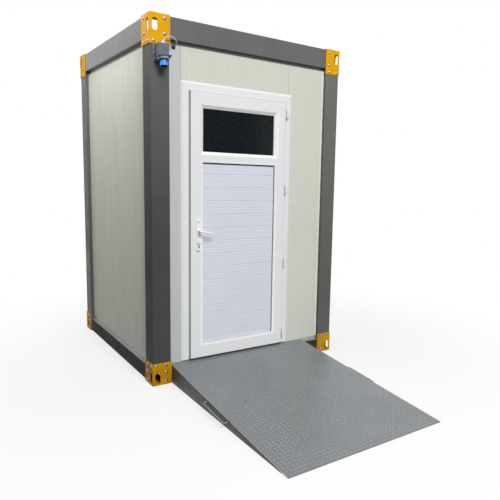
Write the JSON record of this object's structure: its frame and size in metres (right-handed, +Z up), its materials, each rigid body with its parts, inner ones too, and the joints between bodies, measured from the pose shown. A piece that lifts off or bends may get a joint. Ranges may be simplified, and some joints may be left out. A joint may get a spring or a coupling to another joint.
{
  "type": "accessible toilet cabin",
  "caption": "Box-shaped steel-framed toilet cabin with slotted corner brackets, sandwich walls, a glazed plastic door and a wide entrance ramp",
  "frame": {"origin": "on the ground, at the middle of the box round the cabin and its ramp", "axes": "+X to the right along the front, +Y from the door towards the back, +Z up"},
  "size_m": [1.64, 3.366, 2.6],
  "materials": {
    "frame_paint": "satin dark grey paint",
    "corner_paint": "gloss yellow paint",
    "wall_skin": "satin cream coil coating with fine ribs",
    "roof_skin": "satin light grey coil coating",
    "floor_covering": "matt grey sheet flooring",
    "galvanised": "dull zinc",
    "white_profile": "satin white",
    "threshold_metal": "mill finish",
    "door_infill": "satin cool white",
    "dark_glass": "dark obscured glass",
    "ramp_plate_paint": "semi-gloss grey paint on checker plate",
    "ramp_frame_paint": "dull dark paint",
    "inlet_grey": "matt",
    "inlet_dark_blue": "satin",
    "inlet_bright_blue": "satin",
    "gland_plastic": "matt",
    "cable_jacket": "matt",
    "lock_metal": "nickel plated"
  },
  "bodies": {
    "cabin": {"post_front_left": "frame_paint", "post_front_right": "frame_paint", "post_back_left": "frame_paint", "post_back_right": "frame_paint", "roof_beam_front": "frame_paint", "roof_beam_back": "frame_paint", "roof_beam_left": "frame_paint", "roof_beam_right": "frame_paint", "floor_rail_front": "frame_paint", "floor_rail_back": "frame_paint", "floor_rail_left": "frame_paint", "floor_rail_right": "frame_paint", "floor_joists": "frame_paint", "upper_corner_front_left": "corner_paint", "upper_corner_front_right": "corner_paint", "upper_corner_back_left": "corner_paint", "upper_corner_back_right": "corner_paint", "lower_corner_front_left": "corner_paint", "lower_corner_front_right": "corner_paint", "lower_corner_back_left": "corner_paint", "lower_corner_back_right": "corner_paint", "left_wall": "wall_skin", "right_wall": "wall_skin", "back_wall": "wall_skin", "front_wall_left": "wall_skin", "front_wall_right": "wall_skin", "front_wall_head": "wall_skin", "roof_panel": "roof_skin", "floor_deck": "floor_covering", "sill_flashings": "galvanised", "door_frame_lock_jamb": "white_profile", "door_frame_hinge_jamb": "white_profile", "door_frame_head": "white_profile", "frame_hinges": "white_profile", "door_threshold": "threshold_metal", "ramp_plate": "ramp_plate_paint", "ramp_skirt_left": "ramp_frame_paint", "ramp_skirt_right": "ramp_frame_paint", "ramp_ribs": "ramp_frame_paint", "ramp_hook": "ramp_frame_paint", "ramp_grab_left": "ramp_frame_paint", "ramp_grab_right": "ramp_frame_paint", "inlet_housing": "inlet_grey", "inlet_flange": "inlet_dark_blue", "inlet_collar": "inlet_bright_blue", "cable_glands": "gland_plastic", "inlet_cable": "cable_jacket"},
    "door": {"door_sash": "white_profile", "door_glass": "dark_glass", "door_panel": "door_infill", "door_inner_beads": "white_profile", "door_hinges": "white_profile", "outside_plate": "white_profile", "inside_plate": "white_profile", "lock_barrel": "lock_metal"},
    "lever": {"outside_lever": "white_profile", "inside_lever": "white_profile"}
  },
  "joints": [
    {"name": "door_swing", "type": "hinge", "parent": "cabin", "child": "door", "pos_m": [0.302, -0.153, 1.1], "axis": [0, 0, 1], "range_deg": [0, 105]},
    {"name": "lever_turn", "type": "hinge", "parent": "door", "child": "lever", "pos_m": [-0.462, -0.115, 1.124], "axis": [0, 1, 0], "range_deg": [0, 40], "stiffness_Nm_per_rad": 1.5, "springref_deg": -20.05}
  ]
}
